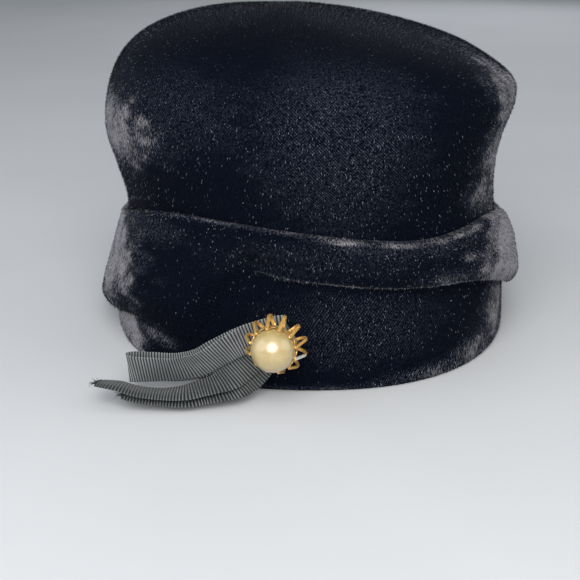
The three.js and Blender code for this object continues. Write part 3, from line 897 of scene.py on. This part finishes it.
def spikes(name, random, base, normal, heading, length, tone):
    """One mesh of closed three-sided spikes, each with a cell of its own in the bake's map"""
    count = len(base)
    side = unit(np.cross(heading, normal + random.normal(0, 0.3, normal.shape)))
    other = np.cross(heading, side)
    foot = base - pile_root * unit(normal)
    points = [foot + pile_radius * (math.cos(a) * side + math.sin(a) * other) for a in around_a_fibre]
    points.append(foot + (length + pile_root)[:, None] * heading)
    points = np.stack(points, axis=1)
    spike_faces = np.array([[0, 1, 3], [1, 2, 3], [2, 0, 3], [0, 2, 1]])
    faces = (4 * np.arange(count)[:, None, None] + spike_faces).reshape(-1, 3)
    pile = new_piece(name, points.reshape(-1, 3), faces.tolist(), [pile_finish])
    set_values(pile.data, "tone", np.repeat(tone, 4))
    across = math.ceil(math.sqrt(count))
    cell = np.stack([np.arange(count) % across, np.arange(count) // across], axis=1)[:, None, None, :]
    face_map = np.array([[[0, 0], [0.9, 0], [0.45, 0.9]]] * 4)
    set_map(pile.data, "OFBake", (cell + 0.05 + face_map[None]) / across)
    settle(pile)


# The bow

def route_along(points, t):
    """Points on a smooth curve through a route's points, however far apart they lie"""
    padded = np.concatenate([[2 * points[0] - points[1]], points, [2 * points[-1] - points[-2]]])
    places = t * (len(points) - 1)
    i = np.minimum(places.astype(int), len(points) - 2)
    a, b, c, d = (padded[i + k] for k in range(4))
    ab, bc, cd = (np.sqrt(np.linalg.norm(q - p, axis=1))[:, None] for p, q in ((a, b), (b, c), (c, d)))
    leave = ((b - a) / ab - (c - a) / (ab + bc) + (c - b) / bc) * bc
    arrive = ((c - b) / bc - (d - b) / (bc + cd) + (d - c) / cd) * bc
    return ease((places - i)[:, None], b, c, leave, arrive)


def ribbon_frame(stations, start, end, below):
    """The ribbon's middle, and the ways along it, across it and out of its face, at even steps"""
    points = np.stack([stations[axis] for axis in "xyz"], axis=1)
    t = np.linspace(start, end, 1200)
    middle = route_along(points, t)
    rows = np.arange(len(points))
    value = {name: np.interp(t * (len(points) - 1), rows, stations[name]) for name in stations}
    along = unit(np.gradient(middle, axis=0))
    up = unit(np.array([0, 0, 1]) - along * along[:, 2:])
    lay = np.radians(value["lay"])[:, None]
    across = up * np.cos(lay) + np.cross(along, up) * np.sin(lay)
    face = np.cross(across, along)
    if below:
        middle = middle - face * value["under"][:, None] - across * value["slip"][:, None]
    run = np.concatenate([[0], np.cumsum(np.linalg.norm(np.diff(middle, axis=0), axis=1))])
    count = int(run[-1] / rib_pitch) * 6
    even = np.linspace(0, run[-1], count + 1)
    pick = lambda v: np.stack([np.interp(even, run, v[:, k]) for k in range(v.shape[1])], axis=1)
    return even, pick(middle), unit(pick(along)), unit(pick(across)), unit(pick(face)), pick(lay)[:, 0]


def ribbon_sides(run, middle, across, face, lay):
    """The ribbon's ribbed sides, as a closed round of points for each step along it, and how far
    across each point of a round lies"""
    right_half = np.array([0.25, 0.5, 0.7, 0.84, 0.92, 0.96, 0.985, 1])
    share = np.concatenate([-right_half[::-1], [0], right_half])
    width = ribbon_width / 2 * share
    selvage = np.clip((np.abs(share) - 0.9) / 0.06, 0, 1)
    curl = np.clip((-share - (1 - 2 * curl_share)) / (2 * curl_share), 0, 1) ** 1.5
    drop = curl_drop * np.maximum(0, np.sin(lay))[:, None] * curl
    ridge = (0.5 - 0.5 * np.cos(2 * np.pi * run[:, None] / rib_pitch)) ** 0.7
    proud = rib_height * ridge * (1 - 0.75 * selvage) + 0.05 * selvage
    thick = ribbon_thickness / 2 * np.where(np.abs(share) > 0.99, math.sqrt(0.3), 1)
    out = width + 0.12 * ridge * np.sign(share) * selvage
    depth = thick + proud - rib_height
    core = middle[:, None] + across[:, None] * out[..., None]
    front, back = (core + face[:, None] * (side - drop)[..., None] for side in (depth, -depth))
    return np.concatenate([front[:, ::-1], back], axis=1), np.concatenate([width[::-1], width])


def make_ribbon(name, cad_node, finish, stations, start=0, end=1, below=False, frayed=False):
    run, middle, along, across, face, lay = ribbon_frame(stations, start, end, below)
    grid, sides = ribbon_sides(run, middle, across, face, lay)
    count, around = grid.shape[:2]
    faces, coordinates = [], []
    for i in range(count - 1):
        for j in range(around):
            faces.append([a * around + b % around for a, b in corners_at(i, j)])
            coordinates += [(sides[b % around] * MM, run[a] * MM) for a, b in corners_at(i, j)]
    for i, order in ((0, range(around)), (count - 1, range(around - 1, -1, -1))):
        faces.append([i * around + j for j in order])
        coordinates += [(sides[j] * MM, run[i] * MM) for j in order]
    points = list(grid.reshape(-1, 3))
    if frayed:
        fray(points, faces, coordinates, middle[-1], along[-1], across[-1], face[-1])
    ribbon = new_piece(name, points, faces, [finish])
    set_map(ribbon.data, "cloth", coordinates)
    only(ribbon)
    bpy.ops.object.shade_smooth_by_angle(angle=math.radians(60))
    settle(ribbon, [cad_node])


def fray(points, faces, coordinates, middle, along, across, face):
    """Loose warp threads past a ribbon's cut end, each a thin three-sided closed strand"""
    random = np.random.default_rng(7)
    for share_across in np.linspace(-0.48, 0.48, loose_threads):
        reach = random.uniform(*thread_reach)
        drift = random.normal(0, 0.35, 2)
        first = len(points)
        for share in (-0.3, 0.35, 0.7, 1):
            bend = max(share, 0) ** 2 * reach
            core = middle + across * (share_across * ribbon_width + drift[0] * bend)
            core = core + along * reach * share + face * (drift[1] - 0.1) * bend
            radius = thread_radius * (1 - 0.5 * max(share, 0))
            for turn in around_a_fibre:
                points.append(core + radius * (across * math.cos(turn) + face * math.sin(turn)))
        for low in range(first, first + 9, 3):
            for a, b in ((0, 1), (1, 2), (2, 0)):
                faces.append([low + b, low + a, low + 3 + a, low + 3 + b])
        faces += [[first, first + 1, first + 2], [first + 11, first + 10, first + 9]]
        coordinates += [(0, 0)] * sum(map(len, faces[-11:]))


# The button, made at the origin facing up and then turned into place

def put_on_hat(piece, hidden):
    place_there = Matrix.Translation(hat_centre + MM * button_place)
    turned = Matrix.Rotation(button_turn, 4, "Z") @ Matrix.Rotation(math.radians(90), 4, "X")
    piece.data.transform(place_there @ turned)
    settle(piece, hidden)


def make_pearl():
    """A moulded pearl: a ball a little flattened, its back ground flat where it's glued"""
    sizes = {"segments": 96, "ring_count": 64, "radius": pearl_radius * MM}
    pearl = start_with(bpy.ops.mesh.primitive_uv_sphere_add, **sizes)
    with edit_mode():
        bpy.ops.transform.resize(value=(1, 0.99, 0.985))
    for vertex in pearl.data.vertices:
        vertex.co.z = max(vertex.co.z, -pearl_back * MM)
    drops = [make_drop(0.98 * Vector(speck), speck_radius) for speck in pearl_specks]
    pearl = join([pearl, *drops], "pearl_ball")
    pearl.data.transform(Matrix.Translation((0, 0, pearl_ahead * MM)))
    pearl.data.materials.append(nacre)
    put_on_hat(pearl, ["pearl"])


def make_drop(at, radius):
    """A round speck of the pearl's coat or of solder"""
    sizes = {"subdivisions": 3, "radius": radius * MM, "location": Vector(at) * MM}
    return start_with(bpy.ops.mesh.primitive_ico_sphere_add, **sizes)


def make_cup():
    """The cup round the pearl's back, half a ball cut off at its lip and given its wall"""
    sizes = {"segments": 72, "ring_count": 48, "radius": (pearl_radius + gap + cup_wall) * MM}
    cup = start_with(bpy.ops.mesh.primitive_uv_sphere_add, **sizes)
    with edit_mode():
        bpy.ops.mesh.bisect(plane_co=(0, 0, -cup_lip * MM), plane_no=(0, 0, 1), clear_outer=True)
    thicken(cup, cup_wall, -1)
    cup.data.transform(Matrix.Translation((0, 0, pearl_ahead * MM)))
    return cup


def thicken(piece, wall, side):
    only(piece)
    solidify = piece.modifiers.new("wall", "SOLIDIFY")
    solidify.thickness, solidify.offset = wall * MM, side
    bpy.ops.object.modifier_apply(modifier="wall")


def make_collar():
    """The collar that clasps the pearl: a prong under each loop, and a dip between two prongs"""
    sizes = {"vertices": wire_loops * 16, "radius": collar_radius * MM}
    collar = start_with(bpy.ops.mesh.primitive_circle_add, **sizes)
    steps = 6
    with edit_mode():
        for _ in range(steps):
            extrude_by(0, 0, MM)
    for vertex in collar.data.vertices:
        share = vertex.co.z / MM / steps
        bearing = math.atan2(vertex.co.y, vertex.co.x) - math.radians(first_bearing)
        prong = (0.5 + 0.5 * math.cos(bearing * wire_loops)) ** 1.5
        edge = collar_dip + (collar_prong - collar_dip) * prong
        vertex.co.z = (collar_foot + (edge - collar_foot) * share) * MM
    thicken(collar, collar_wall, 0)
    set_values(collar.data, "worn", [0.1] * len(collar.data.vertices))
    return collar


def make_shank():
    front = pearl_ahead - pearl_radius - gap - 0.2
    middle = (0, 0, (front - shank_reach / 2) * MM)
    sizes = {"vertices": 24, "radius": shank_radius * MM, "depth": shank_reach * MM}
    return start_with(bpy.ops.mesh.primitive_cylinder_add, **sizes, location=middle)


def make_wire_loop(number):
    """A hairpin of flat grooved strip: from its prong out and back to the bend, round it, and in
    again behind, to where it meets the cup"""
    mesh = bpy.data.meshes.new("loop")
    middle = Vector((loop_tip - loop_round, 0, loop_back + loop_round + loop_lifts[number]))
    reach = middle - Vector((loop_root, 0, loop_front))
    slope = math.atan2(-reach.z, reach.x) - math.asin(loop_round / reach.length)
    section = [
        (loop_root + z * math.sin(slope), y * loop_widths[number], loop_front + z * math.cos(slope))
        for y, z in strip_below + strip_above
    ]
    mesh.from_pydata([MM * Vector(point) for point in section], [], [range(len(section))])
    loop = put_in_scene("loop", mesh)
    only(loop)
    with edit_mode():
        bpy.ops.mesh.select_all(action="SELECT")
        extrude_by(*MM * (reach + loop_round * Vector((math.sin(slope), 0, math.cos(slope)))))
        turn = math.pi - slope + loop_rise
        bpy.ops.mesh.spin(steps=10, angle=turn, axis=(0, -1, 0), center=middle * MM)
        inward = loop_return * Vector((-math.cos(loop_rise), 0, math.sin(loop_rise)))
        extrude_by(*MM * (inward - Vector((0, loop_slants[number], 0))))
        bpy.ops.mesh.select_all(action="SELECT")
        bpy.ops.mesh.normals_make_consistent(inside=False)
    is_worn = number == worn_loop
    set_values(mesh, "worn", [float(is_worn and vertex.co.z > 0) for vertex in mesh.vertices])
    return turn_to_loop(loop, number)


def extrude_by(x, y, z):
    bpy.ops.mesh.extrude_region_move(TRANSFORM_OT_translate={"value": (x, y, z)})


def turn_to_loop(piece, number):
    """Turns a part of the setting round the button's axis to a loop's place, as that loop was bent"""
    swing, bearing = loop_bends[number], first_bearing + 360 * number / wire_loops
    tip = Matrix.Translation((loop_root * MM, 0, 0))
    bent = tip @ Matrix.Rotation(math.radians(swing), 4, "Z") @ tip.inverted()
    piece.data.transform(Matrix.Rotation(math.radians(bearing), 4, "Z") @ bent)
    return piece


def make_solder(number):
    """The bright drop where a loop's front leg meets its prong"""
    return turn_to_loop(make_drop((loop_root, 0, loop_front), solder_radius), number)


def make_setting():
    parts = [make_cup(), make_collar(), make_shank()]
    for number in range(wire_loops):
        parts += [make_wire_loop(number), make_solder(number)]
    setting = join(parts, "gilt_setting")
    setting.data.materials.append(gilt)
    put_on_hat(setting, ["button_setting"])


def join(parts, name):
    only(parts[0])
    for part in parts:
        part.select_set(True)
    bpy.ops.object.join()
    joined = bpy.context.object
    joined.name = joined.data.name = name
    bpy.ops.object.shade_smooth_by_angle(angle=math.radians(40))
    return joined


# The stage

def make_camera():
    data = bpy.data.cameras.new("camera")
    data.lens, data.sensor_width, data.clip_start = lens, 36, 0.01
    bpy.context.scene.camera = put_in_scene("camera", data)
    look_from(bpy.context.scene.camera, eye, looked_at)


def look_from(thing, at, towards):
    thing.location = at
    thing.rotation_euler = (towards - at).to_track_quat("-Z", "Y").to_euler()


def make_floor():
    floor = start_with(bpy.ops.mesh.primitive_plane_add, size=9)
    floor.name = "floor"
    floor.data.materials.append(make_floor_finish())


def light_the_room():
    world = bpy.data.worlds.new("studio")
    world.use_nodes = True
    sky = world.node_tree.nodes["Background"]
    sky.inputs["Color"].default_value = sky_tint
    sky.inputs["Strength"].default_value = sky_strength
    bpy.context.scene.world = world
    bpy.context.scene.view_settings.view_transform = "Standard"
    middle = hat_centre + Vector((0, 0, 0.06))
    for name, at, size, power, tint in lamps:
        data = bpy.data.lights.new(name, "AREA")
        data.shape, data.size, data.energy, data.color = "DISK", size, power, tint
        look_from(put_in_scene(name, data), hat_centre + Vector(at), middle)


# The hat on its stage

velvet = make_velvet("velvet", -45)
band_velvet = make_velvet("velvet of the band", 45)
velvet_back = make_velvet_back()
pile_finish = make_pile_finish()
grosgrain = make_grosgrain("grosgrain", (0.17, 0.182, 0.188), (0.285, 0.297, 0.303), 0.15)
# The tails' grosgrain is a darker copy with wider groove shade: painted shade for tails that lie
# flatter than the loop
shaded_tail_grosgrain = make_grosgrain(
    "grosgrain of the tails in painted shade", (0.08, 0.092, 0.088), (0.2, 0.215, 0.205), 0.4
)
gilt = make_gilt()
nacre = make_pearl_finish()

make_camera()
make_floor()
light_the_room()

make_crown()
make_band()
make_drape()

make_ribbon("bow_loop", "ribbon_loop", grosgrain, loop_stations)
tail = {"finish": shaded_tail_grosgrain, "stations": tail_stations, "frayed": True}
make_ribbon("bow_tail_long", "ribbon_tail_long", **tail)
make_ribbon("bow_tail_short", "ribbon_tail_short", **tail, start=short_start, end=short_end, below=True)

make_setting()
make_pearl()
